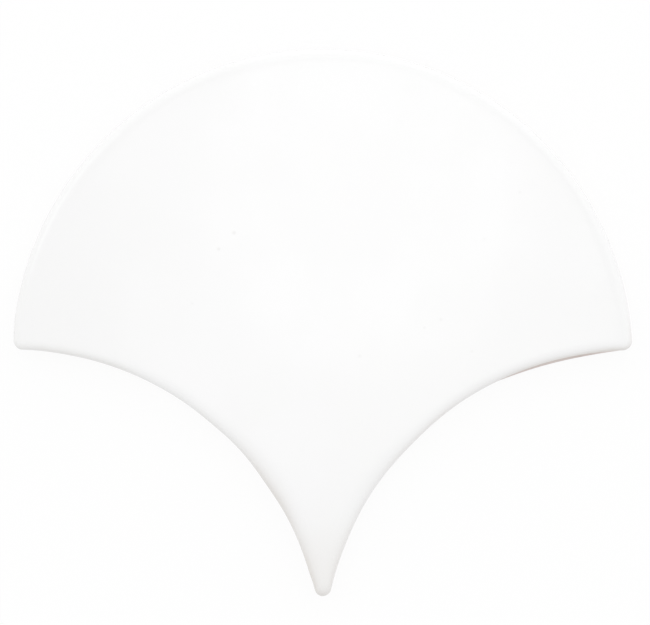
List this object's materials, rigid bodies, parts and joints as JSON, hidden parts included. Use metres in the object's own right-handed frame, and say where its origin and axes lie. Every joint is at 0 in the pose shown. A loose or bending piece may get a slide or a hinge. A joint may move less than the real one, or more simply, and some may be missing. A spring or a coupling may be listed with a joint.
{
  "type": "fish scale tile",
  "caption": "Glossy white ceramic wall tile shaped like a fish scale: arched top, hollow lower sides that nest with its neighbours, and a narrow rounded tip.",
  "frame": {"origin": "centre of the tile's bounding box on its back face", "axes": "+Z out of the glazed face, +X across the shoulders, +Y from the tip to the top of the arch"},
  "size_m": [0.12, 0.106, 0.008],
  "materials": {
    "glazed_body": "gloss"
  },
  "bodies": {
    "root": {"fish_scale_tile": "glazed_body"}
  },
  "joints": []
}
